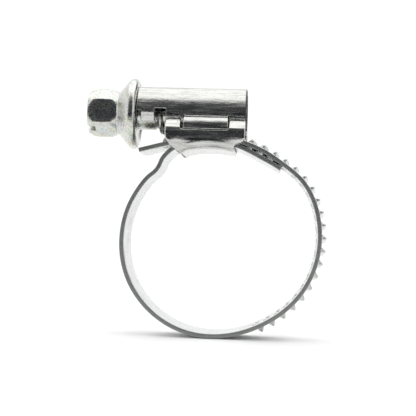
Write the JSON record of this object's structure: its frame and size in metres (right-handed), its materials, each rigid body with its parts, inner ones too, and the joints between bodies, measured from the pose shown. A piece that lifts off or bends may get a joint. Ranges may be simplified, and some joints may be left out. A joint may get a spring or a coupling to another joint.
{
  "type": "hose clamp",
  "caption": "Worm-drive hose clamp: a toothed steel band looped through a two-piece housing and tightened by a flanged hex-head worm screw.",
  "frame": {"origin": "middle of the band's loop, on the hose's axis and in the middle of the band's width", "axes": "+Y along the hose, +Z from the hose to the screw, +X along the screw from its head to its end"},
  "size_m": [0.0395, 0.0122, 0.042],
  "materials": {
    "screw_zinc": "bright zinc plating, slightly mottled",
    "housing_steel": "bright rolled sheet, faint lengthwise grain",
    "band_steel": "rolled strip, satin with sheared grey edges"
  },
  "bodies": {
    "housing": {"housing_cover": "housing_steel", "saddle": "housing_steel"},
    "screw": {"worm_screw": "screw_zinc"},
    "strip": {"band": "band_steel"}
  },
  "joints": [
    {"name": "screw_spin", "type": "hinge", "parent": "housing", "child": "screw", "pos_m": [0, 0, 0.01985], "axis": [1, 0, 0], "range_deg": [-360, 2160]},
    {"name": "band_feed", "type": "hinge", "parent": "housing", "child": "strip", "pos_m": [-0.00213, 0, -0.00305], "axis": [0, -1, 0], "range_deg": [-6.05, 36.25], "deforming": ["band"]}
  ],
  "couplings": [
    {"joint": "band_feed", "follows": "screw_spin", "ratio": 0.016753}
  ]
}
